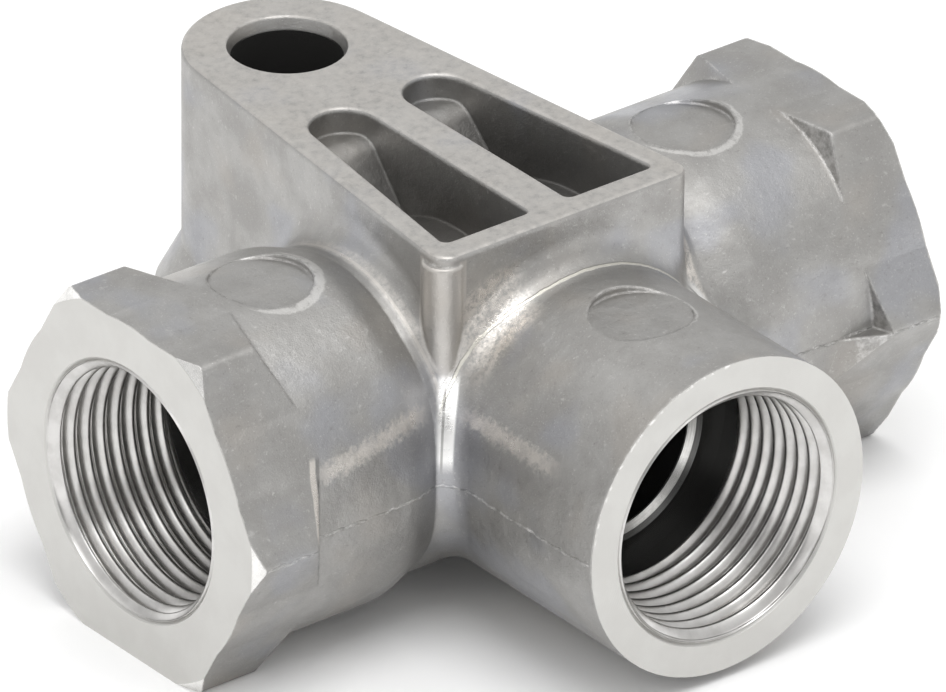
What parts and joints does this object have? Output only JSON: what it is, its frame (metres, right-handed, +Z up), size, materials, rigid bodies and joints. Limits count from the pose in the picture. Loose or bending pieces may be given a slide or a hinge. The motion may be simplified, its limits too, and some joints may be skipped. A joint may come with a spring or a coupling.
{
  "type": "non-return valve",
  "caption": "Cast aluminium tee-shaped double non-return valve with threaded ports, hexagon ends, a mounting lug and a sliding shuttle inside.",
  "frame": {"origin": "centre of the footprint, on the plane that the two hexagons stand on", "axes": "+X along the run towards the right inlet, -Y out of the outlet, +Z up through the lug's bolt hole"},
  "size_m": [0.0712, 0.0688, 0.0336],
  "materials": {
    "cast_aluminium": "as cast, ports and end faces machined",
    "brass_bush": "turned",
    "black_rubber": "moulded",
    "spring_steel": "phosphated",
    "moulded_plastic": "moulded"
  },
  "bodies": {
    "body": {"valve_body": "cast_aluminium", "seat_bush": "brass_bush", "seat_bush_o_ring": "black_rubber", "retaining_ring": "spring_steel"},
    "shuttle": {"shuttle": "moulded_plastic", "shuttle_seal_left": "black_rubber", "shuttle_seal_right": "black_rubber"}
  },
  "joints": [
    {"name": "shuttle_slide", "type": "slide", "parent": "body", "child": "shuttle", "axis": [1, 0, 0], "range_m": [0, 0.0073]}
  ]
}
